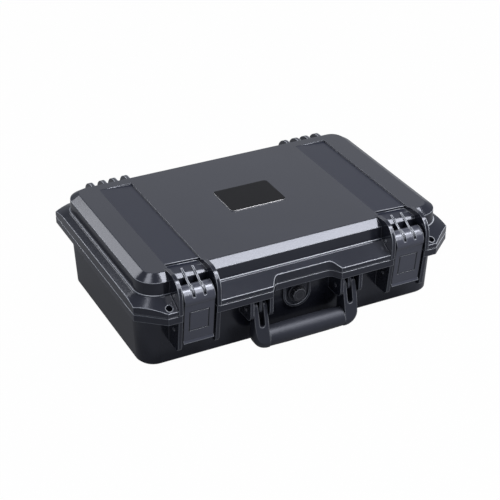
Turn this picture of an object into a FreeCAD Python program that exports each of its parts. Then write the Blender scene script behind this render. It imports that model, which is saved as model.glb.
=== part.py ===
import FreeCAD, Part
import math
import os

import Sketcher

# Driving sizes of the case, in millimetres and degrees
SIZES = {
    # Whole case
    "rim_length": 430,
    "rim_front_reach": 24.3,
    "rim_back_reach": 17.8,
    "parting_height": 85.2,
    "case_height": 126.5,
    "wall": 3.2,
    "rim_gap": 1.2,
    "overrun": 4,
    # Rim outline seen from above
    "front_corner_x": 32.5,
    "front_corner_y": 27.3,
    "back_corner_x": 22,
    "back_corner_y": 11,
    "notch_front_width": 94,
    "notch_back_width": 76,
    "notch_depth": 13,
    "notch_corner": 9,
    "padlock_hole_radius": 4,
    "padlock_side_inset": 36.5,
    "padlock_hole_inset": 7,
    # Lid: shares are of its height above the parting line
    "lid_side_inset": 10.6,
    "lid_depth": 258.4,
    "lid_corner_radius": 27,
    "lid_draft": 2,
    "lid_roof": 5.5,
    "skirt_share": 0.4213,
    "skirt_slope": 25.2,
    "bevel_width": 11.3,
    "bevel_drop": 7.2,
    "panel_width": 44.4,
    "panel_end_inset": 25.7,
    "panel_ramp": 2.2,
    "panel_step": 3,
    "plinth_width": 1.4,
    "plinth_rise": 1,
    "label_length": 77,
    "label_depth": 58,
    "label_offset": 3.8,
    "label_recess": 0.6,
    "label_corner": 5,
    "plate_thickness": 1.6,
    "plate_clearance": 0.3,
    # Base tub
    "base_side_inset": 8,
    "base_front_inset": 4.7,
    "base_corner_radius": 27,
    "base_draft": 2.9,
    "base_floor": 3.2,
    "base_rim_height": 9,
    "foot_chamfer": 3,
    # Seal between lid and base
    "seal_offset": 3.5,
    "tongue_width": 2.2,
    "tongue_height": 3,
    "groove_width": 4.4,
    "groove_depth": 4.5,
    "gasket_clearance": 0.2,
    "gasket_gap": 0.3,
    # Latch columns
    "column_inset": 72.3,
    "column_gap": 43.6,
    "rib_thickness": 5,
    "rib_stand": 3,
    "rib_dip": 1,
    "rib_reach": 25.8,
    "rib_curve_share": 0.557,
    "rib_lean": 7,
    "rib_root": 7,
    "base_rib_drop": 54.2,
    "base_rib_round": 6,
    "fin_spacing": 14,
    "fin_thickness": 2.6,
    "fin_stand": 1.5,
    "fin_eye_radius": 10,
    "fin_eye_angle": 80,
    "fin_clearance": 0.4,
    "pocket_shelf": 7.8,
    "pocket_share": 0.1889,
    # Latch, its pins and its button
    "latch_pin_reach": 11.4,
    "latch_pin_share": 0.4891,
    "latch_pin_radius": 2,
    "strike_pin_reach": 7.6,
    "strike_pin_drop": 27.8,
    "strike_pin_radius": 2.2,
    "pin_clearance": 0.06,
    "pin_stand": 0.6,
    "latch_width": 39.2,
    "latch_plate": 2.5,
    "latch_knuckle_radius": 9.8,
    "latch_bulge": 14.2,
    "latch_bulge_drop": 3.5,
    "latch_neck_drop": 10,
    "latch_face_inset": 1.6,
    "latch_foot_drop": 17,
    "latch_lip": 1.8,
    "cheek_thickness": 3,
    "cheek_reach": 12,
    "cheek_foot_drop": 35.2,
    "button_width": 24,
    "button_top_drop": 0.9,
    "button_bottom_drop": 27.2,
    "button_gap": 0.6,
    "button_plate": 3,
    "rocker_pin_reach": 16.6,
    "rocker_pin_drop": 24.2,
    "rocker_pin_radius": 1.5,
    "rocker_hub_radius": 3,
    "hook_width": 22,
    "hook_clearance": 0.3,
    "hook_wall": 2.5,
    "hook_wall_gap": 0.85,
    "hook_reach": 4.6,
    "hook_thickness": 4,
    "hook_lip": 0.5,
    # Handle, its lugs and pins
    "handle_pin_reach": 9.8,
    "handle_pin_drop": 25.7,
    "handle_pin_radius": 2.5,
    "lug_reach": 23.3,
    "lug_foot_drop": 37.7,
    "lug_round": 9,
    "outer_lug_x": 74.4,
    "centre_lug_x": 60.8,
    "inner_lug_x": 48.6,
    "lug_thickness": 4.6,
    "centre_lug_thickness": 3.4,
    "arm_inner_x": 52.2,
    "arm_outer_x": 69.2,
    "arm_flare": 3,
    "arm_corner": 18,
    "arm_round": 9,
    "arm_eye_radius": 9,
    "arm_foot_radius": 12,
    "fork_slot_width": 7.2,
    "fork_slot_share": 0.5357,
    "grip_reach": 16.8,
    "grip_z": 17.5,
    "grip_radius": 13,
    "grip_waist": 0.5,
    "grip_core_radius": 7,
    "grip_clearance": 0.1,
    # Hinge
    "hinge_reach": 24.3,
    "hinge_radius": 6,
    "hinge_pin_radius": 2.5,
    "hinge_lug_spacing": 15,
    "hinge_lug_thickness": 5,
    "hinge_clearance": 0.4,
    "hinge_web_drop": 29.2,
    "back_curve_share": 0.5327,
    "back_rib_stand": 16.8,
    # Pressure valve
    "valve_drop": 30.8,
    "valve_ring_radius": 19,
    "valve_ring_wall": 3,
    "valve_ring_stand": 2.4,
    "valve_pad_stand": 1.4,
    "valve_shank_radius": 5.9,
    "valve_shank_clearance": 0.1,
    "valve_bore_radius": 2.5,
    "valve_flange_radius": 12,
    "valve_flange_thickness": 2.5,
    "valve_neck_radius": 5.2,
    "valve_neck_length": 6,
    "valve_seat_radius": 12,
    "valve_seat_stand": 1,
    "valve_shank_length": 8.5,
    "nut_flats": 17,
    "nut_thickness": 5,
    "membrane_radius": 4,
    "membrane_thickness": 0.6,
    "membrane_depth": 1,
    "knob_radius": 9,
    "knob_thickness": 6.2,
    "knob_lift": 0.4,
    "knob_scallop_radius": 1.8,
    "knob_ring_radius": 0.75,
    "knob_ring_centre": 6.2,
}
SCALLOP_COUNT = 9
RIGHT_ANGLE = 90
# A slanting corner's run and rise, as a share of its radius
DIAGONAL_SHARE = math.sqrt(0.5)
SIDES = {"left": -1, "right": 1}

doc = FreeCAD.newDocument("hard_case")
sheet = doc.addObject("Spreadsheet::Sheet", "sizes")


class Size:
    """A number together with the sheet formula that gives it."""

    def __init__(self, value, text):
        self.value = value
        self.text = text

    def __add__(self, other):
        return Size(self.value + number(other), f"({self.text} + {formula(other)})")

    def __radd__(self, other):
        return Size(other + self.value, f"({other} + {self.text})")

    def __sub__(self, other):
        return Size(self.value - number(other), f"({self.text} - {formula(other)})")

    def __rsub__(self, other):
        return Size(other - self.value, f"({other} - {self.text})")

    def __mul__(self, other):
        return Size(self.value * number(other), f"({self.text} * {formula(other)})")

    def __rmul__(self, other):
        return Size(other * self.value, f"({other} * {self.text})")

    def __truediv__(self, other):
        return Size(self.value / number(other), f"({self.text} / {formula(other)})")

    def __neg__(self):
        return Size(-self.value, f"(0 - {self.text})")


class Sheet:
    """The sizes by name."""


def number(size):
    return size.value if isinstance(size, Size) else size


def formula(size):
    return size.text if isinstance(size, Size) else str(size)


def tangent(angle):
    return Size(math.tan(math.radians(angle.value)), f"tan({angle.text} * 1 deg)")


def sine(angle):
    return Size(math.sin(math.radians(angle.value)), f"sin({angle.text} * 1 deg)")


def cosine(angle):
    return Size(math.cos(math.radians(angle.value)), f"cos({angle.text} * 1 deg)")


def root(size):
    return Size(math.sqrt(size.value), f"sqrt({size.text})")


def slope_of(run, rise):
    """The angle, in degrees, whose tangent is run over rise."""
    angle = math.degrees(math.atan2(run.value, rise.value))
    return Size(angle, f"(atan({run.text} / {rise.text}) / 1 deg)")


case = Sheet()
for row, (name, value) in enumerate(SIZES.items(), start=1):
    sheet.set(f"A{row}", name)
    sheet.set(f"B{row}", str(value))
    sheet.setAlias(f"B{row}", name)
    setattr(case, name, Size(value, f"sizes.{name}"))
doc.recompute()

# Levels that several pieces share
lid_bottom = case.parting_height + case.rim_gap / 2
base_top = case.parting_height - case.rim_gap / 2
lid_height = case.case_height - case.parting_height
skirt_top = case.parting_height + lid_height * case.skirt_share
pocket_level = case.parting_height + lid_height * case.pocket_share
bevel_foot = case.case_height - case.bevel_drop
latch_pin_z = case.parting_height + lid_height * case.latch_pin_share
strike_pin_z = case.parting_height - case.strike_pin_drop
rocker_pin_z = case.parting_height - case.rocker_pin_drop
button_top = case.parting_height - case.button_top_drop
button_bottom = case.parting_height - case.button_bottom_drop
cheek_foot = case.parting_height - case.cheek_foot_drop
base_rib_foot = case.parting_height - case.base_rib_drop
handle_pin_z = case.parting_height - case.handle_pin_drop
lug_foot = case.parting_height - case.lug_foot_drop
fork_slot_depth = (handle_pin_z - case.grip_z) * case.fork_slot_share
hinge_web_foot = case.parting_height - case.hinge_web_drop
valve_z = case.parting_height - case.valve_drop
rib_curve = lid_height * case.rib_curve_share
back_rib_curve = lid_height * case.back_curve_share

# Lengths and places along the case
lid_length = case.rim_length - case.lid_side_inset * 2
base_length = case.rim_length - case.base_side_inset * 2
column_centre = case.rim_length / 2 - case.column_inset
column_half = case.column_gap / 2
padlock_hole_x = case.rim_length / 2 - case.padlock_side_inset
seal_half_x = lid_length / 2 + case.seal_offset

# Depths, and how far walls, rims and pins lie from the middle
lid_front_wall = case.lid_depth / 2
base_depth = case.lid_depth - case.base_front_inset * 2
seal_half_y = case.lid_depth / 2 + case.seal_offset
seal_radius = case.lid_corner_radius + case.seal_offset
panel_half_depth = lid_front_wall - case.panel_end_inset
rim_front = lid_front_wall + case.rim_front_reach
rim_back = lid_front_wall + case.rim_back_reach
rib_front = lid_front_wall + case.rib_reach
shelf_front = -(lid_front_wall + case.pocket_shelf)
latch_pin_y = lid_front_wall + case.latch_pin_reach
strike_pin_y = lid_front_wall + case.strike_pin_reach
cheek_back = lid_front_wall + case.cheek_reach
rocker_pin_y = lid_front_wall + case.rocker_pin_reach
handle_pin_y = lid_front_wall + case.handle_pin_reach
lug_front = lid_front_wall + case.lug_reach
grip_y = lid_front_wall + case.grip_reach
hinge_y = lid_front_wall + case.hinge_reach
back_rib_reach = lid_front_wall + case.back_rib_stand

# Planes: which way a sketch turns and which axis its level moves along
PLANE_TURNS = {
    "plan": FreeCAD.Rotation(),
    "side": FreeCAD.Rotation(FreeCAD.Vector(1, 1, 1), 120),
    "front": FreeCAD.Rotation(FreeCAD.Vector(1, 0, 0), 90),
}
PLANE_AXES = {"plan": "z", "side": "x", "front": "y"}
X_TURN = FreeCAD.Rotation(FreeCAD.Vector(0, 1, 0), 90)
Y_TURN = FreeCAD.Rotation(FreeCAD.Vector(1, 0, 0), 90)

nodes = []


def bind(thing, path, size):
    thing.setExpression(path, formula(size))


def place(thing, **axes):
    for axis, size in axes.items():
        bind(thing, f"Placement.Base.{axis}", size)


def segment(start, end, radius):
    """A line, or an arc that swells to the right of travel when its radius is positive."""
    begin = FreeCAD.Vector(*start, 0)
    finish = FreeCAD.Vector(*end, 0)
    if radius is None:
        return Part.LineSegment(begin, finish), False
    chord = finish - begin
    left = FreeCAD.Vector(-chord.y, chord.x, 0).normalize()
    lift = math.sqrt(max(radius ** 2 - (chord.Length / 2) ** 2, 0))
    turn = 1 if radius > 0 else -1
    centre = (begin + finish) / 2 + left * lift * turn
    circle = Part.Circle(centre, FreeCAD.Vector(0, 0, 1), abs(radius))
    ends = (begin, finish) if turn > 0 else (finish, begin)
    angles = [math.atan2(end.y - centre.y, end.x - centre.x) for end in ends]
    return Part.ArcOfCircle(circle, *angles), turn < 0


def outline(name, corners, plane="plan", level=0):
    """A closed outline on a plane at a level."""
    sketch = doc.addObject("Sketcher::SketchObject", name)
    sketch.Placement = FreeCAD.Placement(FreeCAD.Vector(), PLANE_TURNS[plane])
    place(sketch, **{PLANE_AXES[plane]: level})
    draw(sketch, corners)
    return sketch


def draw(sketch, corners):
    """Lines through the corners. A corner with a third size is reached by an arc of that radius."""
    points = [(number(corner[0]), number(corner[1])) for corner in corners]
    flips = []
    for index, corner in enumerate(corners):
        radius = number(corner[2]) if len(corner) > 2 else None
        curve, flipped = segment(points[index - 1], points[index], radius)
        sketch.addGeometry(curve)
        flips.append(flipped)
    for index, corner in enumerate(corners):
        following = (index + 1) % len(corners)
        finish = 1 if flips[index] else 2
        begin = 2 if flips[following] else 1
        sketch.addConstraint(Sketcher.Constraint("Coincident", index, finish, following, begin))
        tie(sketch, Sketcher.Constraint("DistanceX", index, finish, points[index][0]), corner[0])
        tie(sketch, Sketcher.Constraint("DistanceY", index, finish, points[index][1]), corner[1])
        if len(corner) > 2:
            radius = corner[2] if number(corner[2]) > 0 else -corner[2]
            tie(sketch, Sketcher.Constraint("Radius", index, number(radius)), radius)


def tie(sketch, constraint, size):
    index = sketch.addConstraint(constraint)
    if isinstance(size, Size):
        bind(sketch, f"Constraints[{index}]", size)


def extrude(name, sketch, length, taper=None, reverse=False):
    """Pulls a sketch along its normal. A positive taper draws the far end in."""
    solid = doc.addObject("Part::Extrusion", name)
    solid.Base = sketch
    solid.DirMode = "Normal"
    solid.Solid = True
    solid.Reversed = reverse
    bind(solid, "LengthFwd", length)
    if taper is not None:
        bind(solid, "TaperAngle", -taper)
    return solid


def sketched_body(name, corners):
    """A body with its profile drawn on its own upright front plane."""
    body = doc.addObject("PartDesign::Body", name)
    sketch = body.newObject("Sketcher::SketchObject", f"{name}_profile")
    plane = [part for part in body.Origin.OriginFeatures if part.Role == "XZ_Plane"][0]
    sketch.AttachmentSupport = [(plane, "")]
    sketch.MapMode = "FlatFace"
    draw(sketch, corners)
    return body, sketch


def revolved_body(name, corners, turn, **places):
    """A turned piece: a half profile of radius and height, spun about its own axis."""
    body, sketch = sketched_body(name, corners)
    spin = body.newObject("PartDesign::Revolution", f"{name}_turned")
    spin.Profile = sketch
    spin.ReferenceAxis = (sketch, ["V_Axis"])
    spin.Angle = 360
    body.Tip = spin
    body.Placement = FreeCAD.Placement(FreeCAD.Vector(), turn)
    place(body, **places)
    return body


def box(name, low, high):
    solid = doc.addObject("Part::Box", name)
    for prop, start, end in zip(("Length", "Width", "Height"), low, high):
        bind(solid, prop, end - start)
    place(solid, x=low[0], y=low[1], z=low[2])
    return solid


def rod(name, radius, start, end, y, z):
    """A round bar along X."""
    solid = doc.addObject("Part::Cylinder", name)
    solid.Placement = FreeCAD.Placement(FreeCAD.Vector(), X_TURN)
    bind(solid, "Radius", radius)
    bind(solid, "Height", end - start)
    place(solid, x=start, y=y, z=z)
    return solid


def spigot(name, radius, back, front, x, z):
    """A round bar along Y, from its back end to its front end."""
    solid = doc.addObject("Part::Cylinder", name)
    solid.Placement = FreeCAD.Placement(FreeCAD.Vector(), Y_TURN)
    bind(solid, "Radius", radius)
    bind(solid, "Height", back - front)
    place(solid, x=x, y=back, z=z)
    return solid


def fuse(name, solids):
    whole = doc.addObject("Part::MultiFuse", name)
    whole.Shapes = solids
    whole.Refine = True
    return whole


def common(name, solids):
    whole = doc.addObject("Part::MultiCommon", name)
    whole.Shapes = solids
    return whole


def cut(name, solid, tools):
    left = doc.addObject("Part::Cut", name)
    left.Base = solid
    left.Tool = tools[0] if len(tools) == 1 else fuse(f"{name}_tools", tools)
    left.Refine = True
    return left


def node(name, thing):
    thing.Label = name
    nodes.append(thing)


def rounded_rectangle(name, half_x, half_y, radius, level, centre_y=0):
    front = centre_y - half_y
    back = centre_y + half_y
    corners = [
        (radius - half_x, front, radius),
        (half_x - radius, front),
        (half_x, front + radius, radius),
        (half_x, back - radius),
        (half_x - radius, back, radius),
        (radius - half_x, back),
        (-half_x, back - radius, radius),
        (-half_x, front + radius),
    ]
    return outline(name, corners, "plan", level)


def with_mirror(right):
    """Closes a right-hand half outline with its mirror image, arcs included."""
    left = []
    arc = ()
    for x, y, *radius in reversed(right):
        left.append((-x, y, *arc))
        arc = radius
    return right + left


def rim_outline(name, level):
    """The rim seen from above: cut corners and a notch for the hand at the front."""
    half = case.rim_length / 2
    front = -rim_front
    notch_outer = case.notch_front_width / 2
    notch_inner = case.notch_back_width / 2
    notch_back = front + case.notch_depth
    flare = notch_outer - notch_inner
    notch_side = root(flare * flare + case.notch_depth * case.notch_depth)
    trim = case.notch_corner * (notch_side - flare) / case.notch_depth
    right = [
        (notch_inner - trim, notch_back),
        (notch_inner + trim * flare / notch_side, notch_back - trim * case.notch_depth / notch_side,
         -case.notch_corner),
        (notch_outer, front),
        (half - case.front_corner_x, front),
        (half, front + case.front_corner_y),
        (half, rim_back - case.back_corner_y),
        (half - case.back_corner_x, rim_back),
    ]
    return outline(name, with_mirror(right), "plan", level)


def side_plate(name, corners, start, thickness):
    """An upright plate: a profile in Y and Z, thick along X."""
    return extrude(name, outline(f"{name}_profile", corners, "side", start), thickness)


def column_ribs(side):
    """Where the two outer ribs of a latch column start, along X."""
    centre = column_centre * SIDES[side]
    return centre - column_half - case.rib_thickness, centre + column_half


def column_ends(side):
    """Both ends, along X, of a pin through a latch column."""
    centre = column_centre * SIDES[side]
    half = column_half + case.rib_thickness + case.pin_stand
    return centre - half, centre + half


def padlock_holes(name, low, high):
    holes = []
    for side, sign in SIDES.items():
        hole = doc.addObject("Part::Cylinder", f"{name}_{side}")
        bind(hole, "Radius", case.padlock_hole_radius)
        bind(hole, "Height", high - low)
        place(hole, x=padlock_hole_x * sign, y=case.padlock_hole_inset - rim_front, z=low)
        holes.append(hole)
    return holes


def seal_ring(name, width, low, high):
    """A ring that follows the seal's line between lid and base."""
    half = width / 2
    height = high - low
    discs = []
    for edge, shift in (("outer", half), ("inner", -half)):
        sketch = rounded_rectangle(f"{name}_{edge}_outline", seal_half_x + shift, seal_half_y + shift,
                                   seal_radius + shift, low)
        discs.append(extrude(f"{name}_{edge}", sketch, height))
    return cut(name, discs[0], discs[1:])


# Lid


def lid_pan(name, inset, low, roof):
    """The drafted, bevelled block of the lid, drawn in from the outside by an inset."""
    half_x = lid_length / 2 - inset
    half_y = case.lid_depth / 2 - inset
    radius = case.lid_corner_radius - inset
    foot = roof - case.bevel_drop
    shrink = (foot - low) * tangent(case.lid_draft)
    lower = rounded_rectangle(f"{name}_lower_outline", half_x, half_y, radius, low)
    upper = rounded_rectangle(f"{name}_upper_outline", half_x - shrink, half_y - shrink,
                              radius - shrink, foot)
    bevel = slope_of(case.bevel_width, case.bevel_drop)
    walls = extrude(f"{name}_walls", lower, foot - low, case.lid_draft)
    crown = extrude(f"{name}_crown", upper, case.bevel_drop, bevel)
    return fuse(name, [walls, crown])


def lid_skirt():
    """The rim of the lid under a slope that runs out from the foot of its walls."""
    height = skirt_top - lid_bottom
    rim = extrude("lid_rim", rim_outline("lid_rim_outline", lid_bottom), height)
    foot = rounded_rectangle("skirt_outline", lid_length / 2, case.lid_depth / 2,
                             case.lid_corner_radius, skirt_top)
    hill = extrude("skirt_hill", foot, height, case.skirt_slope - RIGHT_ANGLE, reverse=True)
    return common("lid_skirt", [rim, hill])


def lid_plinth():
    """A low step all round the foot of the lid's walls."""
    low = skirt_top - case.plinth_rise - case.plinth_width
    sketch = rounded_rectangle("plinth_outline", lid_length / 2 + case.plinth_width,
                               case.lid_depth / 2 + case.plinth_width,
                               case.lid_corner_radius + case.plinth_width, low)
    return extrude("lid_plinth", sketch, skirt_top + case.plinth_rise - low)


def lid_rib_profile():
    """A front rib: rises past the top, rolls over and runs down to the rim."""
    crest = case.case_height + case.rib_stand
    roll = rib_curve - rib_front
    level = crest - rib_curve
    root_y = case.wall - lid_front_wall + case.bevel_width
    return [
        (root_y, lid_bottom),
        (root_y, case.case_height - case.rib_stand),
        (-panel_half_depth, case.case_height - case.panel_ramp),
        (-(lid_front_wall - case.bevel_width), crest - case.rib_dip),
        (roll, crest),
        (-rib_front, level, rib_curve),
        (-rib_front, lid_bottom),
    ]


def fin_profile():
    """A thin fin: its crest runs over the bevel and down to the eye round the latch pin."""
    top_y = -(lid_front_wall - case.bevel_width)
    eye_back = case.fin_eye_radius * cosine(case.fin_eye_angle)
    eye_rise = case.fin_eye_radius * sine(case.fin_eye_angle)
    return [
        (top_y, bevel_foot - case.bevel_drop),
        (top_y, case.case_height - case.rib_dip),
        (-lid_front_wall, bevel_foot + case.fin_stand),
        (eye_back - latch_pin_y, latch_pin_z + eye_rise),
        (-latch_pin_y, latch_pin_z),
    ]


def lid_ribs(side):
    solids = []
    for index, start in enumerate(column_ribs(side)):
        solids.append(side_plate(f"lid_rib_{side}_{index}", lid_rib_profile(), start, case.rib_thickness))
    for index, sign in enumerate((-1, 1)):
        start = (column_centre * SIDES[side] + case.fin_spacing * sign / 2) - case.fin_thickness / 2
        solids.append(side_plate(f"lid_fin_{side}_{index}", fin_profile(), start, case.fin_thickness))
        solids.append(rod(f"lid_fin_eye_{side}_{index}", case.fin_eye_radius, start,
                          start + case.fin_thickness, -latch_pin_y, latch_pin_z))
    return solids


def hinge_lug_starts(side):
    """Start and end, along X, of the four lid lugs of a hinge."""
    centre = column_centre * SIDES[side]
    half = case.hinge_lug_thickness / 2
    first, last = column_ribs(side)
    inner = [centre + case.hinge_lug_spacing * sign / 2 for sign in (-1, 1)]
    return [(first, first + case.rib_thickness)] + [(x - half, x + half) for x in inner] + [
        (last, last + case.rib_thickness)]


def lid_lug_profile():
    """A back rib that rolls down from the top and ends round the hinge pin."""
    cheek = case.hinge_radius * DIAGONAL_SHARE
    roll = back_rib_reach - back_rib_curve
    crest = case.case_height - case.rib_dip
    root_y = lid_front_wall - case.bevel_width - case.wall
    return [
        (root_y, lid_bottom),
        (hinge_y - case.hinge_radius / 2, lid_bottom),
        (hinge_y, case.parting_height),
        (hinge_y + cheek, case.parting_height + cheek),
        (back_rib_reach, crest - back_rib_curve),
        (roll, crest, back_rib_curve),
        (root_y, crest),
    ]


def lid_lugs(side):
    solids = []
    for index, (start, end) in enumerate(hinge_lug_starts(side)):
        name = f"lid_lug_{side}_{index}"
        solids.append(side_plate(name, lid_lug_profile(), start, end - start))
        solids.append(rod(f"{name}_eye", case.hinge_radius, start, end, hinge_y, case.parting_height))
    return solids


def panel_cuts(side):
    """The ramped panel of a column, which deepens to the right, and the lower strip in front of it."""
    centre = column_centre * SIDES[side]
    fade = centre - case.panel_width / 2
    deep = centre + case.panel_width / 2
    top = case.case_height + case.rib_stand * 2
    surface = case.case_height
    bottom = surface - case.panel_ramp
    ramp = [(fade, surface), (deep, bottom), (deep, surface + case.overrun)]
    ramp_sketch = outline(f"panel_{side}_profile", ramp, "front", panel_half_depth)
    inner_fade = centre - column_half
    inner_deep = centre + column_half
    strip = [(inner_fade, surface - case.panel_step), (inner_deep, bottom - case.panel_step),
             (inner_deep, top), (inner_fade, top)]
    strip_sketch = outline(f"strip_{side}_profile", strip, "front", -panel_half_depth)
    return [
        extrude(f"panel_{side}", ramp_sketch, panel_half_depth * 2),
        extrude(f"strip_{side}", strip_sketch, rim_front - panel_half_depth),
    ]


def latch_pocket(name, side, low, back):
    """The room between the ribs that the latch swings in."""
    centre = column_centre * SIDES[side]
    front = -(rib_front + case.overrun)
    return box(f"{name}_{side}", (centre - column_half, front, low),
               (centre + column_half, back, skirt_top + case.overrun))


def lid_shell():
    body = [lid_pan("lid_pan", 0, skirt_top, case.case_height), lid_skirt(), lid_plinth()]
    label_floor = case.case_height - case.label_recess
    cuts = []
    for side in SIDES:
        cuts += panel_cuts(side)
        cuts.append(latch_pocket("lid_pocket", side, lid_bottom - case.overrun, shelf_front))
        cuts.append(latch_pocket("lid_shelf", side, pocket_level, -lid_front_wall))
    block = cut("lid_block", fuse("lid_body", body), cuts)
    ribs = []
    holes = padlock_holes("lid_padlock", lid_bottom - case.overrun, skirt_top)
    for side in SIDES:
        ribs += lid_ribs(side) + lid_lugs(side)
        start, end = column_ends(side)
        holes.append(rod(f"latch_pin_hole_{side}", case.latch_pin_radius + case.pin_clearance, start, end,
                         -latch_pin_y, latch_pin_z))
        holes.append(rod(f"lid_hinge_hole_{side}", case.hinge_pin_radius + case.pin_clearance, start, end,
                         hinge_y, case.parting_height))
    label = rounded_rectangle("label_outline", case.label_length / 2, case.label_depth / 2, case.label_corner,
                              label_floor, case.label_offset)
    holes.append(extrude("label_pocket", label, case.label_recess + case.overrun))
    holes.append(seal_ring("lid_groove", case.groove_width, lid_bottom, lid_bottom + case.groove_depth))
    cavity = lid_pan("lid_cavity", case.wall, lid_bottom - case.overrun, case.case_height - case.lid_roof)
    node("lid_shell", cut("lid_shell", fuse("lid_ribbed", [block] + ribs), [cavity] + holes))


def lid_gasket():
    top = lid_bottom + case.groove_depth
    low = base_top + case.tongue_height + case.gasket_gap
    node("lid_gasket", seal_ring("lid_gasket", case.groove_width - case.gasket_clearance * 2, low, top))


def name_plate():
    floor = case.case_height - case.label_recess
    inset = case.plate_clearance
    sketch = rounded_rectangle("plate_outline", case.label_length / 2 - inset, case.label_depth / 2 - inset,
                               case.label_corner - inset, floor, case.label_offset)
    node("name_plate", extrude("name_plate", sketch, case.plate_thickness))


# Base tub


def base_tub():
    """The drafted tub, with a chamfer round its foot."""
    half_x = base_length / 2
    half_y = base_depth / 2
    shrink = (base_top - case.foot_chamfer) * tangent(case.base_draft)
    top = rounded_rectangle("tub_outline", half_x, half_y, case.base_corner_radius, base_top)
    foot = rounded_rectangle("tub_foot_outline", half_x - shrink, half_y - shrink,
                             case.base_corner_radius - shrink, case.foot_chamfer)
    walls = extrude("tub_walls", top, base_top - case.foot_chamfer, case.base_draft, reverse=True)
    bevel = slope_of(case.foot_chamfer, case.foot_chamfer)
    return [walls, extrude("tub_foot", foot, case.foot_chamfer, bevel, reverse=True)]


def base_cavity():
    inset = case.wall
    level = base_top + case.overrun
    sketch = rounded_rectangle("base_cavity_outline", base_length / 2 - inset,
                               base_depth / 2 - inset, case.base_corner_radius - inset, level)
    return extrude("base_cavity", sketch, level - case.base_floor, case.base_draft, reverse=True)


def base_rib_profile():
    """A front rib of the tub: leans in towards a rounded foot."""
    root_y = case.rib_root - base_depth / 2
    foot = base_rib_foot
    front = rib_front - (lid_bottom - base_top)
    lean = (base_top - foot - case.base_rib_round) * tangent(case.rib_lean)
    return [
        (root_y, foot),
        (root_y, base_top),
        (-front, base_top),
        (lean - front, foot + case.base_rib_round),
        (lean - front + case.base_rib_round, foot, case.base_rib_round),
    ]


def handle_lug_profile(foot, front):
    """A lug under the rim, rounded at its lower front corner."""
    root_y = case.rib_root - base_depth / 2
    return [
        (root_y, foot),
        (root_y, base_top),
        (-front, base_top),
        (-front, foot + case.lug_round),
        (case.lug_round - front, foot, case.lug_round),
    ]


def handle_lugs(side):
    sign = SIDES[side]
    half = case.lug_thickness / 2
    centre_half = case.centre_lug_thickness / 2
    full = handle_lug_profile(lug_foot, lug_front)
    short_front = handle_pin_y + case.lug_round
    short = handle_lug_profile(handle_pin_z - case.lug_round, short_front)
    return [
        side_plate(f"outer_lug_{side}", full, case.outer_lug_x * sign - half, case.lug_thickness),
        side_plate(f"inner_lug_{side}", full, case.inner_lug_x * sign - half, case.lug_thickness),
        side_plate(f"centre_lug_{side}", short, case.centre_lug_x * sign - centre_half,
                   case.centre_lug_thickness),
    ]


def knuckle_profile():
    """A hinge knuckle of the tub, with a web down to the back wall."""
    cheek = case.hinge_radius * DIAGONAL_SHARE
    root_y = base_depth / 2 - case.rib_root
    return [
        (root_y, hinge_web_foot),
        (hinge_y + cheek, case.parting_height - cheek),
        (hinge_y, case.parting_height),
        (hinge_y - case.hinge_radius / 2, base_top),
        (root_y, base_top),
    ]


def base_knuckles(side):
    """The knuckles that fill the spaces between the four lid lugs."""
    lugs = hinge_lug_starts(side)
    solids = []
    for index, (before, after) in enumerate(zip(lugs, lugs[1:])):
        start = before[1] + case.hinge_clearance
        end = after[0] - case.hinge_clearance
        name = f"knuckle_{side}_{index}"
        solids.append(side_plate(name, knuckle_profile(), start, end - start))
        solids.append(rod(f"{name}_eye", case.hinge_radius, start, end, hinge_y, case.parting_height))
    return solids


# The wall of the tub at the valve's height
valve_wall = base_depth / 2 - (base_top - valve_z) * tangent(case.base_draft)
valve_face = -(valve_wall + case.valve_pad_stand)
valve_seat = -(valve_wall - case.wall - case.valve_seat_stand)


def valve_arch(name, radius, back, front):
    """Round below the valve, straight up beside it to the underside of the rim."""
    rim_foot = base_top - case.base_rim_height
    return [
        spigot(f"{name}_round", radius, back, front, 0, valve_z),
        box(f"{name}_sides", (-radius, front, valve_z), (radius, back, rim_foot)),
    ]


def valve_guard():
    """The guard wall round the valve and the flat pad inside it."""
    front = valve_face - case.valve_ring_stand
    outer = valve_arch("valve_guard_outer", case.valve_ring_radius, case.wall - valve_wall, front)
    inner = valve_arch("valve_guard_inner", case.valve_ring_radius - case.valve_ring_wall, valve_face,
                       front - case.overrun)
    return cut("valve_guard", fuse("valve_guard_block", outer), inner)


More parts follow.
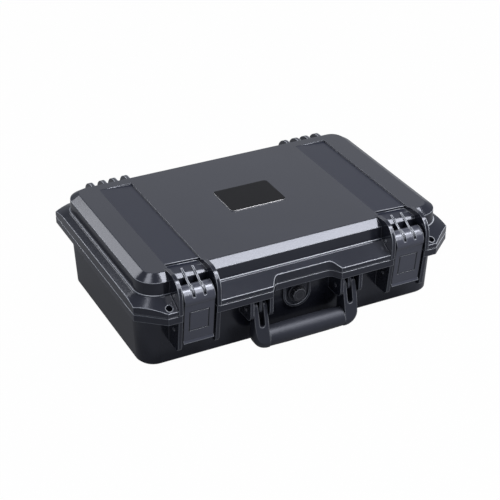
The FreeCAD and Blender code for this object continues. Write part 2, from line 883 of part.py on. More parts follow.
def base_shell():
    rim = extrude("base_rim", rim_outline("base_rim_outline", base_top), case.base_rim_height, reverse=True)
    below_rim = base_top - case.base_rim_height * 2
    pockets = [latch_pocket("base_pocket", side, below_rim, shelf_front) for side in SIDES]
    body = base_tub() + [cut("base_rim_pocketed", rim, pockets), valve_guard()]
    holes = padlock_holes("base_padlock", below_rim, base_top + case.overrun)
    for side in SIDES:
        for index, start in enumerate(column_ribs(side)):
            body.append(side_plate(f"base_rib_{side}_{index}", base_rib_profile(), start, case.rib_thickness))
        body += handle_lugs(side) + base_knuckles(side)
        start, end = column_ends(side)
        holes.append(rod(f"strike_pin_hole_{side}", case.strike_pin_radius + case.pin_clearance, start, end,
                         -strike_pin_y, strike_pin_z))
        holes.append(rod(f"base_hinge_hole_{side}", case.hinge_pin_radius + case.pin_clearance, start, end,
                         hinge_y, case.parting_height))
        low, high = handle_pin_ends(side)
        holes.append(rod(f"handle_pin_hole_{side}", case.handle_pin_radius + case.pin_clearance, low, high,
                         -handle_pin_y, handle_pin_z))
    tongue = seal_ring("tongue", case.tongue_width, base_top - case.base_rim_height / 2,
                       base_top + case.tongue_height)
    hollow = cut("base_hollow", fuse("base_body", body + [tongue]), [base_cavity()])
    seat = spigot("valve_seat", case.valve_seat_radius, valve_seat, -valve_wall, 0, valve_z)
    holes.append(spigot("valve_hole", case.valve_shank_radius + case.valve_shank_clearance,
                        valve_seat + case.overrun, valve_face - case.overrun, 0, valve_z))
    node("base_shell", cut("base_shell", fuse("base_seated", [hollow, seat]), holes))


# Pins


def handle_pin_ends(side):
    outer = case.outer_lug_x + case.lug_thickness / 2 + case.pin_stand
    inner = case.inner_lug_x - case.lug_thickness / 2 - case.pin_stand
    if SIDES[side] > 0:
        return inner, outer
    return -outer, -inner


def pins():
    for side in SIDES:
        start, end = column_ends(side)
        node(f"strike_pin_{side}", rod(f"strike_pin_{side}", case.strike_pin_radius, start, end,
                                       -strike_pin_y, strike_pin_z))
        node(f"latch_pin_{side}", rod(f"latch_pin_{side}", case.latch_pin_radius, start, end,
                                      -latch_pin_y, latch_pin_z))
        node(f"hinge_pin_{side}", rod(f"hinge_pin_{side}", case.hinge_pin_radius, start, end,
                                      hinge_y, case.parting_height))
        low, high = handle_pin_ends(side)
        node(f"handle_pin_{side}", rod(f"handle_pin_{side}", case.handle_pin_radius, low, high,
                                       -handle_pin_y, handle_pin_z))
        half = case.latch_width / 2
        centre = column_centre * SIDES[side]
        node(f"rocker_pin_{side}", rod(f"rocker_pin_{side}", case.rocker_pin_radius, centre - half,
                                       centre + half, -rocker_pin_y, rocker_pin_z))


# Latch

# The latch face leans in from its neck, under the bulge, down to its lip
neck_y = case.latch_face_inset - latch_pin_y - case.latch_bulge
neck_z = latch_pin_z - case.latch_neck_drop


def face_y(z, depth=0):
    """Where the latch face, or a surface a depth behind it, lies at a height."""
    return neck_y + depth + (neck_z - z) * tangent(case.rib_lean)


def latch_profile():
    """The lever from the side: round over the pin, bulged, then flat to a flared lip."""
    pin_y = -latch_pin_y
    foot = strike_pin_z - case.latch_foot_drop
    lip = foot + case.latch_lip * 2
    bulge_z = latch_pin_z - case.latch_bulge_drop
    return [
        (pin_y, latch_pin_z),
        (pin_y, latch_pin_z + case.latch_knuckle_radius),
        (pin_y - case.latch_bulge, bulge_z, case.latch_bulge + case.latch_lip),
        (neck_y, neck_z, case.latch_knuckle_radius),
        (face_y(lip), lip),
        (face_y(lip) - case.latch_lip, foot),
        (face_y(lip, case.latch_plate) - case.latch_lip, foot),
        (face_y(lip, case.latch_plate), lip),
        (face_y(neck_z, case.latch_plate), neck_z),
    ]


def cheek_profile():
    """A side cheek of the lever, from the face back to in front of the strike pin."""
    foot = cheek_foot
    return [
        (face_y(foot, case.latch_plate / 2), foot),
        (-cheek_back, foot + case.latch_plate),
        (-cheek_back, neck_z - case.latch_plate),
        (-latch_pin_y, latch_pin_z),
        (face_y(neck_z, case.latch_plate / 2), neck_z),
    ]


def fin_slots(side):
    """Room in the knuckles for the lid's fins: a round bore and an open slot above the pin."""
    half = case.fin_thickness / 2 + case.fin_clearance
    reach = case.latch_bulge + case.overrun
    solids = []
    for index, sign in enumerate((-1, 1)):
        middle = column_centre * SIDES[side] + case.fin_spacing * sign / 2
        low = middle - half
        high = middle + half
        floor = latch_pin_z - case.fin_clearance
        name = f"fin_slot_{side}_{index}"
        solids.append(rod(f"{name}_bore", case.fin_eye_radius + case.fin_clearance, low, high,
                          -latch_pin_y, latch_pin_z))
        solids.append(box(name, (low, -latch_pin_y - reach, floor),
                          (high, reach - latch_pin_y, floor + reach)))
    return solids


def latch_body(side):
    centre = column_centre * SIDES[side]
    half = case.latch_width / 2
    start = centre - half
    end = centre + half
    gap = case.button_gap
    window_half = case.button_width / 2 + gap
    solids = [
        side_plate(f"latch_lever_{side}", latch_profile(), start, case.latch_width),
        rod(f"latch_knuckle_{side}", case.latch_knuckle_radius, start, end,
            -latch_pin_y, latch_pin_z),
    ]
    for index, edge in enumerate((start, end - case.cheek_thickness)):
        solids.append(side_plate(f"latch_cheek_{side}_{index}", cheek_profile(), edge, case.cheek_thickness))
    window = box(f"latch_window_{side}",
                 (centre - window_half, -rib_front - case.overrun, button_bottom - gap),
                 (centre + window_half, -cheek_back, button_top + gap))
    holes = fin_slots(side) + [
        window,
        rod(f"latch_bore_{side}", case.latch_pin_radius + case.pin_clearance, start, end,
            -latch_pin_y, latch_pin_z),
        rod(f"rocker_hole_{side}", case.rocker_pin_radius + case.pin_clearance, start, end,
            -rocker_pin_y, rocker_pin_z),
    ]
    node(f"latch_body_{side}", cut(f"latch_body_{side}", fuse(f"latch_solid_{side}", solids), holes))


def button_profile():
    return [
        (face_y(button_bottom), button_bottom),
        (face_y(button_bottom, case.button_plate), button_bottom),
        (face_y(button_top, case.button_plate), button_top),
        (face_y(button_top), button_top),
    ]


def hook_profile():
    """The hook: a wall in front of the strike pin, a floor round the latch pin and a low lip."""
    reach_y = latch_pin_y - strike_pin_y
    drop = latch_pin_z - strike_pin_z
    floor_radius = root(reach_y * reach_y + drop * drop) + case.strike_pin_radius + case.hook_clearance
    wall_y = -(strike_pin_y + case.strike_pin_radius + case.hook_wall_gap)
    tip_y = case.hook_reach - strike_pin_y
    wall_run = wall_y + latch_pin_y
    tip_run = tip_y + latch_pin_y
    floor_z = latch_pin_z - root(floor_radius * floor_radius - wall_run * wall_run)
    tip_z = latch_pin_z - root(floor_radius * floor_radius - tip_run * tip_run)
    front = wall_y - case.hook_wall
    under = floor_z - case.hook_thickness
    return [
        (front, under),
        (tip_y + case.hook_lip, under),
        (tip_y + case.hook_lip, tip_z + case.hook_lip),
        (tip_y, tip_z),
        (wall_y, floor_z, -floor_radius),
        (wall_y, rocker_pin_z),
        (-rocker_pin_y, rocker_pin_z + case.rocker_hub_radius),
        (-rocker_pin_y, rocker_pin_z),
        (front, rocker_pin_z - case.rocker_hub_radius),
    ]


def latch_button(side):
    centre = column_centre * SIDES[side]
    half = case.button_width / 2
    hook_half = case.hook_width / 2
    solids = [
        side_plate(f"button_face_{side}", button_profile(), centre - half, case.button_width),
        side_plate(f"button_hook_{side}", hook_profile(), centre - hook_half, case.hook_width),
        rod(f"button_hub_{side}", case.rocker_hub_radius, centre - hook_half, centre + hook_half,
            -rocker_pin_y, rocker_pin_z),
    ]
    bore = rod(f"button_bore_{side}", case.rocker_pin_radius + case.pin_clearance, centre - half,
               centre + half, -rocker_pin_y, rocker_pin_z)
    node(f"latch_button_{side}", cut(f"latch_button_{side}", fuse(f"button_solid_{side}", solids), [bore]))


# Handle


def arm_side_profile():
    """An arm from the side: round at the pin, wider at the grip and open downwards."""
    pin_y = -handle_pin_y
    pin_z = handle_pin_z
    foot_y = -grip_y
    eye = case.arm_eye_radius
    foot = case.arm_foot_radius
    low = case.grip_z - foot - case.overrun
    return [
        (pin_y + eye, pin_z),
        (pin_y, pin_z + eye, eye),
        (pin_y - eye, pin_z, eye),
        (foot_y - foot, case.grip_z),
        (foot_y - foot, low),
        (foot_y + foot, low),
        (foot_y + foot, case.grip_z),
    ]


def arm_front_profile():
    """An arm from the front: flared outwards, with a large round lower corner."""
    low = case.grip_z - case.arm_foot_radius
    top = handle_pin_z + case.arm_eye_radius
    outer = case.arm_outer_x + case.arm_flare
    return [
        (case.arm_inner_x, low),
        (outer - case.arm_corner, low),
        (outer, low + case.arm_corner, case.arm_corner),
        (case.arm_outer_x, top),
        (case.arm_inner_x, top),
    ]


def arm_block():
    """The arm's front outline, as deep as the grip is thick, with round outer and lower edges."""
    foot = case.arm_foot_radius
    body, sketch = sketched_body("arm_block", arm_front_profile())
    pad = body.newObject("PartDesign::Pad", "arm_pad")
    pad.Profile = sketch
    bind(pad, "Length", foot * 2)
    doc.recompute()
    edges = []
    for index, edge in enumerate(pad.Shape.Edges, start=1):
        reach = edge.BoundBox
        across = reach.YLength > foot.value
        inside = reach.XMax < (case.arm_inner_x + case.wall / 2).value
        above = reach.ZMin > handle_pin_z.value
        if not (across or inside or above):
            edges.append(f"Edge{index}")
    rounded = body.newObject("PartDesign::Fillet", "arm_rounded")
    rounded.Base = (pad, edges)
    bind(rounded, "Radius", case.arm_round)
    body.Tip = rounded
    place(body, y=foot - grip_y)
    return body


def handle_arm():
    pin_z = handle_pin_z
    front = -(grip_y + case.arm_foot_radius) - case.overrun
    back = case.arm_foot_radius - handle_pin_y + case.overrun
    length = case.arm_outer_x + case.arm_flare - case.arm_inner_x
    slab = side_plate("arm_slab", arm_side_profile(), case.arm_inner_x, length)
    middle = (case.arm_inner_x + case.arm_outer_x) / 2
    half = case.fork_slot_width / 2
    slot_end = pin_z - fork_slot_depth + half
    slot = box("fork_slot", (middle - half, front, slot_end),
               (middle + half, back, pin_z + case.arm_eye_radius + case.overrun))
    slot_round = spigot("fork_slot_end", half, back, front, middle, slot_end)
    bore = rod("arm_bore", case.handle_pin_radius + case.pin_clearance, case.arm_inner_x - case.overrun,
               case.arm_outer_x + case.overrun, -handle_pin_y, pin_z)
    return cut("handle_arm", common("arm_form", [slab, arm_block()]), [slot, slot_round, bore])


def handle_frame():
    arm = handle_arm()
    mirrored = doc.addObject("Part::Mirroring", "handle_arm_mirrored")
    mirrored.Source = arm
    mirrored.Normal = FreeCAD.Vector(1, 0, 0)
    half = case.arm_inner_x + case.wall
    core = rod("handle_core", case.grip_core_radius, -half, half, -grip_y, case.grip_z)
    node("handle_frame", fuse("handle_frame", [arm, mirrored, core]))


def handle_grip():
    """The sleeve: a little slimmer at its ends than in the hand."""
    bore = case.grip_core_radius + case.grip_clearance
    half = case.arm_inner_x - case.grip_clearance
    end = case.grip_radius - case.grip_waist
    corners = [
        (bore, -half),
        (end - case.grip_waist, -half),
        (end, case.grip_waist - half),
        (case.grip_radius, -half / 2),
        (case.grip_radius, half / 2),
        (end, half - case.grip_waist),
        (end - case.grip_waist, half),
        (bore, half),
    ]
    node("handle_grip", revolved_body("handle_grip", corners, X_TURN, y=-grip_y, z=case.grip_z))


# Pressure valve


def valve_body():
    """Flange and neck outside, shank through the wall, bored through and recessed for the membrane."""
    bore = case.valve_bore_radius
    flange = case.valve_flange_thickness
    neck = flange + case.valve_neck_length
    back = valve_face - valve_seat - case.valve_shank_length
    recess = back + case.membrane_depth
    corners = [
        (bore, recess),
        (case.membrane_radius + case.pin_clearance, recess),
        (case.membrane_radius + case.pin_clearance, back),
        (case.valve_shank_radius, back),
        (case.valve_shank_radius, 0),
        (case.valve_flange_radius, 0),
        (case.valve_flange_radius, flange),
        (case.valve_neck_radius, flange),
        (case.valve_neck_radius, neck),
        (bore, neck),
    ]
    node("valve_body", revolved_body("valve_body", corners, Y_TURN, y=valve_face, z=valve_z))


def valve_membrane():
    seat = valve_seat + case.valve_shank_length - case.membrane_depth
    disc = spigot("valve_membrane", case.membrane_radius, seat + case.membrane_thickness, seat,
                  0, valve_z)
    node("valve_membrane", disc)


def valve_nut():
    """A hexagon nut on the shank, tight against the seat inside the tub."""
    nut = doc.addObject("Part::Prism", "nut_blank")
    nut.Polygon = 6
    nut.Placement = FreeCAD.Placement(FreeCAD.Vector(), Y_TURN)
    bind(nut, "Circumradius", case.nut_flats / math.sqrt(3))
    bind(nut, "Height", case.nut_thickness)
    place(nut, y=valve_seat + case.nut_thickness, z=valve_z)
    bore = spigot("nut_bore", case.valve_shank_radius + case.pin_clearance,
                  valve_seat + case.nut_thickness + case.overrun, valve_seat - case.overrun, 0, valve_z)
    node("valve_nut", cut("valve_nut", nut, [bore]))


knob_back = valve_face - case.valve_flange_thickness - case.knob_lift


def valve_knob():
    """A cap with scallops round its rim, bored for the neck and for its sealing ring."""
    bore = case.valve_neck_radius + case.pin_clearance
    ring = case.knob_ring_centre + case.knob_ring_radius + case.pin_clearance
    room = case.knob_ring_radius * 2
    floor = case.valve_neck_length - case.knob_lift + case.pin_clearance
    chamfer = case.knob_ring_radius
    corners = [
        (0, floor),
        (bore, floor),
        (bore, room),
        (ring, room),
        (ring, 0),
        (case.knob_radius, 0),
        (case.knob_radius, case.knob_thickness - chamfer),
        (case.knob_radius - chamfer, case.knob_thickness),
        (0, case.knob_thickness),
    ]
    cap = revolved_body("knob_cap", corners, Y_TURN, y=knob_back, z=valve_z)
    scallops = []
    for index in range(SCALLOP_COUNT):
        angle = math.radians(360 / SCALLOP_COUNT * index)
        along = math.cos(angle)
        up = math.sin(angle)
        reach = case.knob_radius + case.knob_scallop_radius / 2
        scallops.append(spigot(f"scallop_{index}", case.knob_scallop_radius, knob_back + case.overrun,
                               knob_back - case.knob_thickness - case.overrun, reach * along,
                               valve_z + reach * up))
    node("valve_knob", cut("valve_knob", cap, scallops))


def valve_knob_ring():
    """A sealing ring of square section with cut corners, round the neck inside the knob."""
    inner = case.knob_ring_centre - case.knob_ring_radius
    outer = case.knob_ring_centre + case.knob_ring_radius
    height = case.knob_ring_radius * 2
    trim = case.knob_ring_radius / 2
    corners = [
        (inner, trim),
        (inner + trim, 0),
        (outer - trim, 0),
        (outer, trim),
        (outer, height - trim),
        (outer - trim, height),
        (inner + trim, height),
        (inner, height - trim),
    ]
    node("valve_knob_ring", revolved_body("valve_knob_ring", corners, Y_TURN, y=knob_back, z=valve_z))


def build():
    base_shell()
    lid_shell()
    lid_gasket()
    name_plate()
    pins()
    for side in SIDES:
        latch_body(side)
        latch_button(side)
    handle_frame()
    handle_grip()
    valve_body()
    valve_membrane()
    valve_nut()
    valve_knob()
    valve_knob_ring()
    doc.recompute()


def write():
    failed = [thing.Name for thing in doc.Objects if "Invalid" in thing.State or "Error" in thing.State]
    if failed:
        raise RuntimeError(f"failed objects: {failed}")
    for thing in nodes:
        if thing.Shape.isNull() or not thing.Shape.isValid():
            raise RuntimeError(f"bad shape: {thing.Label}")
        print(thing.Label, len(thing.Shape.Solids), round(thing.Shape.Volume))
    os.makedirs("parts", exist_ok=True)
    for thing in nodes:
        thing.Shape.exportStep(f"parts/{thing.Label}.step")


build()
write()
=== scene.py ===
import bpy
import math
from mathutils import Matrix, Vector

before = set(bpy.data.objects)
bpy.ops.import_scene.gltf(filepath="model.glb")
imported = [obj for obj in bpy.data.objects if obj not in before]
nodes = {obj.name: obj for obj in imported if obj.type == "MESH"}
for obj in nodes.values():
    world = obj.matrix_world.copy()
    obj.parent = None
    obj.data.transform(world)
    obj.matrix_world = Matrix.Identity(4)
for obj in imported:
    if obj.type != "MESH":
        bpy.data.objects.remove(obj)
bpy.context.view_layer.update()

# Viewing angle
VIEW_AZIMUTH = math.radians(-26.81)
VIEW_ELEVATION = math.radians(30.36)
VIEW_ROLL = math.radians(0.13)
VIEW_DISTANCE = 1.7496
VIEW_TARGET = Vector((-0.0093, -0.0168, 0.06))
LENS_MM = 98.3
SENSOR_MM = 36
RIGHT_ANGLE = math.radians(90)
MATRIX_SIZE = 4

# Floor and light
FLOOR_SIZE = 30
FLOOR_DROP = 0.0004
FLOOR_COLOUR = (0.24, 0.245, 0.26, 1)
FLOOR_ROUGHNESS = 0.9
WHITE = (1, 1, 1, 1)
WHITE_SEEN_SHARE = 0.99
WHITE_MIRRORED_SHARE = 0.09
WORLD_COLOUR = (0.57, 0.62, 0.74, 1)
WORLD_STRENGTH = 0.32
SOFTBOXES = {
    "key_softbox": {
        "place": (0.68, -0.45, 1.62), "aim": (0.68, -0.3, 0.1),
        "size": (0.95, 0.42), "power": 15.5,
    },
    "front_softbox": {
        "place": (0.7, -1, 1.5), "aim": (0.7, 0, 0.1),
        "size": (0.75, 1.1), "power": 17,
    },
    "corner_softbox": {
        "place": (-0.6, 0.06, 1.62), "aim": (-0.6, 0.05, 0.1),
        "size": (0.5, 0.4), "power": 3,
    },
    "back_softbox": {
        "place": (1.3, 2.3, 1.35), "aim": (1.3, 0, 0.1),
        "size": (2.1, 1.9), "power": 5.4,
    },
    "left_softbox": {
        "place": (-1.24, 1.75, 1.15), "aim": (-1.24, 0, 0.6),
        "size": (0.94, 1.1), "power": 11.5,
    },
}

# Plastics: grain scales in waves per metre, grain depths in metres, and the edge share is how strong the
# painted edge highlight is
PLASTICS = {
    "shell_plastic": {
        "colour": (0.0185, 0.020, 0.0285), "roughness": 0.16, "sheen": 0.65,
        "grain_scale": 1500, "grain_depth": 0.00005, "highlight_share": 1,
    },
    "latch_plastic": {
        "colour": (0.068, 0.071, 0.093), "roughness": 0.21, "sheen": 0.95,
        "grain_scale": 2200, "grain_depth": 0.00003, "highlight_share": 0.6,
    },
    "handle_plastic": {
        "colour": (0.030, 0.032, 0.043), "roughness": 0.34, "sheen": 0.5,
        "grain_scale": 1500, "grain_depth": 0.00006, "highlight_share": 0.5,
    },
    "grip_rubber": {
        "colour": (0.030, 0.032, 0.043), "roughness": 0.46, "sheen": 0.5,
        "grain_scale": 1300, "grain_depth": 0.00008, "highlight_share": 0.5,
    },
    "valve_plastic": {
        "colour": (0.028, 0.028, 0.032), "roughness": 0.36, "sheen": 0.5,
        "grain_scale": 1800, "grain_depth": 0.00006, "highlight_share": 0.5,
    },
}

# Grain and patches of polish: the span that noise mostly keeps to, and scales in waves per metre
NOISE_LOW = 0.3
NOISE_HIGH = 0.7
PATCH_SCALE = 14
PATCH_DETAIL = 4
PATCH_DIM_SHARE = 0.85
POLISH_SWING_SHARE = 0.07
GRAIN_DETAIL = 2
GRAIN_STRENGTH = 0.3
SHEEN_TINT = (0.85, 0.88, 1, 1)

# Sharp edges, which are rounded and carry a painted highlight that is strongest where they face up, with
# their lengths in metres
EDGE_RADIUS = 0.0016
EDGE_WIDTH = 0.0018
EDGE_SAMPLES = 16
EDGE_FLAT = 0.9993
EDGE_ROUND = 0.975
EDGE_PROUD = 0.8
EDGE_PLAIN = 0.98
EDGE_DOWN = -0.2
EDGE_UP = 0.6
# Colour of the painted edge highlight
EDGE_HIGHLIGHT_COLOUR = (0.52, 0.54, 0.59)
EDGE_LOW_SHARE = 0.1

# Painted shade in the gaps round the latch buttons
UPRIGHT = 0.1
LEANING = 0.3
GAP_SHADE_SHARE = 0.12

# Ramps in the lid's top layer, darkened by painted shade, with that layer's lengths in metres
RAMP_SHADE_COLOUR = (0.0125, 0.0145, 0.0265, 1)
RAMP_START = 0.01
RAMP_FULL = 0.03
RAMP_LEVEL = 0.98
RAMP_ROUGHER = 0.22
RAMP_SHEEN_SHARE = 0.7
TOP_LAYER = 0.003
TOP_FADE = 0.0005
# Share of the painted edge highlight kept in the lid's top layer
TOP_EDGE_SHARE = 0.1

# Steel pins and coated plate
STREAK_SCALE = 900
STREAK_DETAIL = 2
STEEL_DULL = (0.50, 0.50, 0.52, 1)
STEEL_BRIGHT = (0.72, 0.72, 0.74, 1)
STEEL_SMOOTH = 0.2
STEEL_ROUGH = 0.35
PLATE_COLOUR = (0.006, 0.006, 0.007)
PLATE_PALER = 1.5
PLATE_DETAIL = 3
PLATE_SMOOTH = 0.38
PLATE_ROUGH = 0.5
PLATE_SHEEN = 0.12
PLATE_FACE = 0.9
PLATE_SIDE = 0.6

# Rubber seals and cloth
SEAL_COLOUR = (0.010, 0.010, 0.011)
SEAL_SCALE = 700
SEAL_ROUGHNESS = 0.65
CLOTH_COLOUR = (0.55, 0.55, 0.55)
CLOTH_SCALE = 2500
CLOTH_ROUGHNESS = 0.8
MATT_DETAIL = 3
MATT_PALER = 1.5
MATT_SWING_SHARE = 0.1


def new_material(name):
    """A material with its node tree and its shader."""
    material = bpy.data.materials.new(name)
    material.use_nodes = True
    tree = material.node_tree
    return material, tree, tree.nodes["Principled BSDF"]


def add(tree, kind, **settings):
    """A shader node with its settings."""
    node = tree.nodes.new(kind)
    for name, value in settings.items():
        setattr(node, name, value)
    return node


def join(tree, output, target):
    tree.links.new(output, target)


def noise(tree, scale, detail):
    """Noise in the piece's own metres, so that it moves with the piece."""
    place = add(tree, "ShaderNodeTexCoord")
    texture = add(tree, "ShaderNodeTexNoise")
    texture.inputs["Scale"].default_value = scale
    texture.inputs["Detail"].default_value = detail
    join(tree, place.outputs["Object"], texture.inputs["Vector"])
    return texture.outputs["Fac"]


def spread(tree, value, start, end, low, high):
    """Maps a value from one span onto another, held at both ends."""
    node = add(tree, "ShaderNodeMapRange")
    node.inputs["From Min"].default_value = start
    node.inputs["From Max"].default_value = end
    node.inputs["To Min"].default_value = low
    node.inputs["To Max"].default_value = high
    join(tree, value, node.inputs["Value"])
    return node.outputs["Result"]


def vary(tree, texture, low, high):
    """Turns noise into a value between two limits."""
    return spread(tree, texture, NOISE_LOW, NOISE_HIGH, low, high)


def swung(value, share):
    """The limits of a value that swings by a share of itself."""
    return value * (1 - share), value * (1 + share)


def combine(tree, operation, first, second):
    """Two values put together by an operation such as MULTIPLY."""
    node = add(tree, "ShaderNodeMath", operation=operation)
    join(tree, first, node.inputs[0])
    join(tree, second, node.inputs[1])
    return node.outputs[0]


def blend(tree, share, first, second):
    """Colour between two colours, each a constant or an output."""
    node = add(tree, "ShaderNodeMix", data_type="RGBA")
    join(tree, share, node.inputs["Factor"])
    for socket, colour in (("A", first), ("B", second)):
        if isinstance(colour, bpy.types.NodeSocket):
            join(tree, colour, node.inputs[socket])
        else:
            node.inputs[socket].default_value = colour
    return node.outputs["Result"]


def scaled(colour, share):
    """A darker or paler colour, with full cover."""
    return (*[channel * share for channel in colour], 1)


def along(tree, measure, axis):
    """The surface's direction (Normal) or place (Object) along one of the piece's own axes."""
    place = add(tree, "ShaderNodeTexCoord")
    split = add(tree, "ShaderNodeSeparateXYZ")
    join(tree, place.outputs[measure], split.inputs["Vector"])
    return split.outputs[axis]


def rounded_normal(tree):
    """The surface's direction, rounded at sharp edges."""
    bevel = add(tree, "ShaderNodeBevel", samples=EDGE_SAMPLES)
    bevel.inputs["Radius"].default_value = EDGE_RADIUS
    return bevel.outputs["Normal"]


def sharp_edges(tree, rounded):
    """A mask that is one along sharp edges."""
    geometry = add(tree, "ShaderNodeNewGeometry")
    dot = add(tree, "ShaderNodeVectorMath", operation="DOT_PRODUCT")
    join(tree, rounded, dot.inputs[0])
    join(tree, geometry.outputs["Normal"], dot.inputs[1])
    return spread(tree, dot.outputs["Value"], EDGE_FLAT, EDGE_ROUND, 0, 1)


def painted_edge_highlight(tree, edges, lowest):
    """The mask of the painted highlight on sharp edges: kept where they are outward, and strongest where
    they face up, where light from above falls.
    """
    depth = add(tree, "ShaderNodeAmbientOcclusion", inside=True, only_local=True, samples=EDGE_SAMPLES)
    depth.inputs["Distance"].default_value = EDGE_WIDTH
    near = spread(tree, depth.outputs["AO"], EDGE_PROUD, EDGE_PLAIN, 1, 0)
    facing_up = spread(tree, along(tree, "Normal", "Z"), lowest, EDGE_UP, EDGE_LOW_SHARE, 1)
    return combine(tree, "MULTIPLY", combine(tree, "MULTIPLY", edges, near), facing_up)


def shaded_gap_edges(tree, edges):
    """The mask of painted shade on sharp edges, kept on upright faces, where they border the gap round a
    button.
    """
    upright = spread(tree, along(tree, "Normal", "Z"), UPRIGHT, LEANING, 1, 0)
    return combine(tree, "MULTIPLY", edges, upright)


def below_top(tree):
    """A mask that is one below the lid's top layer, and low in it, where the steps of the ramps are."""
    lid_top = max(Vector(corner).z for corner in nodes["lid_shell"].bound_box)
    layer = lid_top - TOP_LAYER
    return spread(tree, along(tree, "Object", "Z"), layer - TOP_FADE, layer, 1, TOP_EDGE_SHARE)


def ramp_faces(tree):
    """A mask that is one on level faces that tip slightly to the right, as the lid's ramps do."""
    tipped = spread(tree, along(tree, "Normal", "X"), RAMP_START, RAMP_FULL, 0, 1)
    level = spread(tree, along(tree, "Normal", "Z"), RAMP_LEVEL, 1, 0, 1)
    return combine(tree, "MULTIPLY", tipped, level)


def shade_and_dull_ramps(tree, shader, tone, polish, sheen):
    """Gives the lid's ramps a painted shade, and makes them rougher and less shiny than the faces round
    them.
    """
    ramps = ramp_faces(tree)
    ramp_sheen = spread(tree, ramps, 0, 1, sheen, sheen * RAMP_SHEEN_SHARE)
    join(tree, ramp_sheen, shader.inputs["Specular IOR Level"])
    rougher = spread(tree, ramps, 0, 1, 0, RAMP_ROUGHER)
    return blend(tree, ramps, tone, RAMP_SHADE_COLOUR), combine(tree, "ADD", polish, rougher)


def grain_bump(tree, scale, depth, normal):
    """The surface's direction with a fine grain."""
    bump = add(tree, "ShaderNodeBump")
    bump.inputs["Strength"].default_value = GRAIN_STRENGTH
    bump.inputs["Distance"].default_value = depth
    join(tree, noise(tree, scale, GRAIN_DETAIL), bump.inputs["Height"])
    join(tree, normal, bump.inputs["Normal"])
    return bump.outputs["Normal"]


def plastic(name, ramps=False, gaps=False):
    """Moulded plastic: fine grain, patches of polish, and sharp edges made paler by a painted highlight.
    """
    finish = PLASTICS[name]
    colour = finish["colour"]
    material, tree, shader = new_material(name)
    shader.inputs["Specular IOR Level"].default_value = finish["sheen"]
    shader.inputs["Specular Tint"].default_value = SHEEN_TINT
    rounded = rounded_normal(tree)
    edges = sharp_edges(tree, rounded)
    # Painted highlight along sharp edges, strongest where they face up
    highlight_mask = painted_edge_highlight(tree, edges, UPRIGHT if gaps else EDGE_DOWN)
    patches = noise(tree, PATCH_SCALE, PATCH_DETAIL)
    tone = blend(tree, vary(tree, patches, 0, 1), scaled(colour, PATCH_DIM_SHARE), scaled(colour, 1))
    polish = vary(tree, patches, *swung(finish["roughness"], POLISH_SWING_SHARE))
    if ramps:
        # Painted shade on the ramps, and the painted edge highlight dimmed in the lid's top layer
        tone, polish = shade_and_dull_ramps(tree, shader, tone, polish, finish["sheen"])
        highlight_mask = combine(tree, "MULTIPLY", highlight_mask, below_top(tree))
    if gaps:
        # Painted shade along the gaps round the buttons
        tone = blend(tree, shaded_gap_edges(tree, edges), tone, scaled(colour, GAP_SHADE_SHARE))
    # Sharp edges made paler by the painted highlight
    tone_with_highlight = blend(tree, highlight_mask, tone, scaled(EDGE_HIGHLIGHT_COLOUR, finish["highlight_share"]))
    grained = grain_bump(tree, finish["grain_scale"], finish["grain_depth"], rounded)
    join(tree, tone_with_highlight, shader.inputs["Base Color"])
    join(tree, polish, shader.inputs["Roughness"])
    join(tree, grained, shader.inputs["Normal"])
    return material


def shell_plastic():
    """Base and lid, with painted shade on the lid's ramps, which are also duller."""
    return plastic("shell_plastic", ramps=True)


def latch_plastic():
    """Latches and their buttons, with painted shade in the gaps between them."""
    return plastic("latch_plastic", gaps=True)


def handle_plastic():
    """The handle's arms and core bar."""
    return plastic("handle_plastic")


def grip_rubber():
    """The handle's sleeve, rougher than its arms."""
    return plastic("grip_rubber")


def valve_plastic():
    """The pressure valve's body, nut and knob."""
    return plastic("valve_plastic")


def pin_steel():
    """Turned steel pins with fine streaks."""
    material, tree, shader = new_material("pin_steel")
    streaks = noise(tree, STREAK_SCALE, STREAK_DETAIL)
    join(tree, blend(tree, streaks, STEEL_DULL, STEEL_BRIGHT), shader.inputs["Base Color"])
    join(tree, vary(tree, streaks, STEEL_SMOOTH, STEEL_ROUGH), shader.inputs["Roughness"])
    shader.inputs["Metallic"].default_value = 1
    return material


def plate_black():
    """A plate with a black coated face and bare metal at its sides."""
    material, tree, shader = new_material("plate_black")
    side = spread(tree, along(tree, "Normal", "Z"), PLATE_FACE, PLATE_SIDE, 0, 1)
    specks = noise(tree, STREAK_SCALE, PLATE_DETAIL)
    coat = blend(tree, specks, scaled(PLATE_COLOUR, PATCH_DIM_SHARE), scaled(PLATE_COLOUR, PLATE_PALER))
    join(tree, blend(tree, side, coat, STEEL_BRIGHT), shader.inputs["Base Color"])
    join(tree, side, shader.inputs["Metallic"])
    join(tree, vary(tree, specks, PLATE_SMOOTH, PLATE_ROUGH), shader.inputs["Roughness"])
    join(tree, rounded_normal(tree), shader.inputs["Normal"])
    shader.inputs["Specular IOR Level"].default_value = PLATE_SHEEN
    return material


def matt(name, colour, scale, roughness):
    """A matt grain of two close tones."""
    material, tree, shader = new_material(name)
    grain = noise(tree, scale, MATT_DETAIL)
    tone = blend(tree, grain, scaled(colour, 1), scaled(colour, MATT_PALER))
    join(tree, tone, shader.inputs["Base Color"])
    join(tree, vary(tree, grain, *swung(roughness, MATT_SWING_SHARE)), shader.inputs["Roughness"])
    return material


def seal_rubber():
    """The lid's gasket and the ring on the valve's knob."""
    return matt("seal_rubber", SEAL_COLOUR, SEAL_SCALE, SEAL_ROUGHNESS)


def membrane_cloth():
    """The breathing disc in the valve."""
    return matt("membrane_cloth", CLOTH_COLOUR, CLOTH_SCALE, CLOTH_ROUGHNESS)


def assign(material, *names):
    for name in names:
        mesh = nodes[name].data
        mesh.materials.clear()
        mesh.materials.append(material)


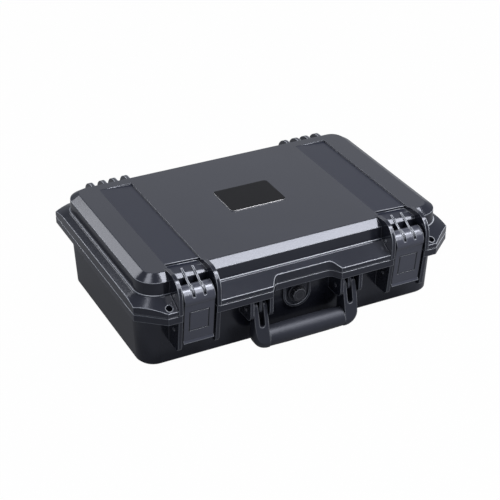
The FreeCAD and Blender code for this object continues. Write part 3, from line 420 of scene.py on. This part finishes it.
def dress():
    """Gives each piece its material."""
    latch = latch_plastic()
    steel = pin_steel()
    for side in ("left", "right"):
        assign(latch, f"latch_body_{side}", f"latch_button_{side}")
        for pin in ("strike", "latch", "hinge", "handle", "rocker"):
            assign(steel, f"{pin}_pin_{side}")
    assign(shell_plastic(), "base_shell", "lid_shell")
    assign(handle_plastic(), "handle_frame")
    assign(grip_rubber(), "handle_grip")
    assign(valve_plastic(), "valve_body", "valve_nut", "valve_knob")
    assign(seal_rubber(), "lid_gasket", "valve_knob_ring")
    assign(membrane_cloth(), "valve_membrane")
    assign(plate_black(), "name_plate")


def make_camera():
    data = bpy.data.cameras.new("camera")
    data.lens = LENS_MM
    data.sensor_width = SENSOR_MM
    camera = bpy.data.objects.new("camera", data)
    bpy.context.scene.collection.objects.link(camera)
    swing = Matrix.Rotation(VIEW_AZIMUTH, MATRIX_SIZE, "Z")
    tilt = Matrix.Rotation(RIGHT_ANGLE - VIEW_ELEVATION, MATRIX_SIZE, "X")
    roll = Matrix.Rotation(VIEW_ROLL, MATRIX_SIZE, "Z")
    turn = swing @ tilt @ roll
    back = turn.to_3x3() @ Vector((0, 0, 1))
    camera.matrix_world = Matrix.Translation(VIEW_TARGET + back * VIEW_DISTANCE) @ turn
    bpy.context.scene.camera = camera


def white_share(tree):
    """How much of a plain white shows: nearly all of it to the eye, and some of it in reflections."""
    path = add(tree, "ShaderNodeLightPath")
    mirrored = combine(tree, "MAXIMUM", path.outputs["Is Glossy Ray"], path.outputs["Is Transmission Ray"])
    seen_share = spread(tree, path.outputs["Is Camera Ray"], 0, 1, 0, WHITE_SEEN_SHARE)
    mirrored_share = spread(tree, mirrored, 0, 1, 0, WHITE_MIRRORED_SHARE)
    return combine(tree, "MAXIMUM", seen_share, mirrored_share)


def part_white(tree, surface, white, target):
    """Joins a surface and a plain white to an output, by how much of the white shows."""
    mixed = add(tree, "ShaderNodeMixShader")
    join(tree, white_share(tree), mixed.inputs[0])
    join(tree, surface.outputs[0], mixed.inputs[1])
    join(tree, white.outputs[0], mixed.inputs[2])
    join(tree, mixed.outputs[0], target)


def floor_white():
    """Grey in itself and nearly white to the eye, with the object's shadow."""
    material, tree, shader = new_material("floor_white")
    shader.inputs["Base Color"].default_value = FLOOR_COLOUR
    shader.inputs["Roughness"].default_value = FLOOR_ROUGHNESS
    glow = add(tree, "ShaderNodeEmission")
    part_white(tree, shader, glow, tree.nodes["Material Output"].inputs["Surface"])
    return material


def make_floor():
    half = FLOOR_SIZE / 2
    sides = ((-half, -half), (half, -half), (half, half), (-half, half))
    mesh = bpy.data.meshes.new("floor")
    mesh.from_pydata([(x, y, -FLOOR_DROP) for x, y in sides], [], [range(len(sides))])
    mesh.materials.append(floor_white())
    floor = bpy.data.objects.new("floor", mesh)
    bpy.context.scene.collection.objects.link(floor)


def softbox(name, place, aim, size, power):
    """A lamp of the given width and depth, turned towards a point."""
    data = bpy.data.lights.new(name, "AREA")
    data.shape = "RECTANGLE"
    data.size, data.size_y = size
    data.energy = power
    light = bpy.data.objects.new(name, data)
    bpy.context.scene.collection.objects.link(light)
    light.location = place
    light.rotation_euler = (Vector(aim) - Vector(place)).to_track_quat("-Z", "Y").to_euler()


def make_light():
    """A dim bluish room that is nearly white to the eye, and the softboxes."""
    world = bpy.data.worlds.new("studio")
    world.use_nodes = True
    tree = world.node_tree
    room = tree.nodes["Background"]
    room.inputs["Color"].default_value = WORLD_COLOUR
    room.inputs["Strength"].default_value = WORLD_STRENGTH
    backdrop = add(tree, "ShaderNodeBackground")
    backdrop.inputs["Color"].default_value = WHITE
    part_white(tree, room, backdrop, tree.nodes["World Output"].inputs["Surface"])
    bpy.context.scene.world = world
    for name, box in SOFTBOXES.items():
        softbox(name, **box)


dress()
make_camera()
make_floor()
make_light()
bpy.context.scene.view_settings.view_transform = "Standard"
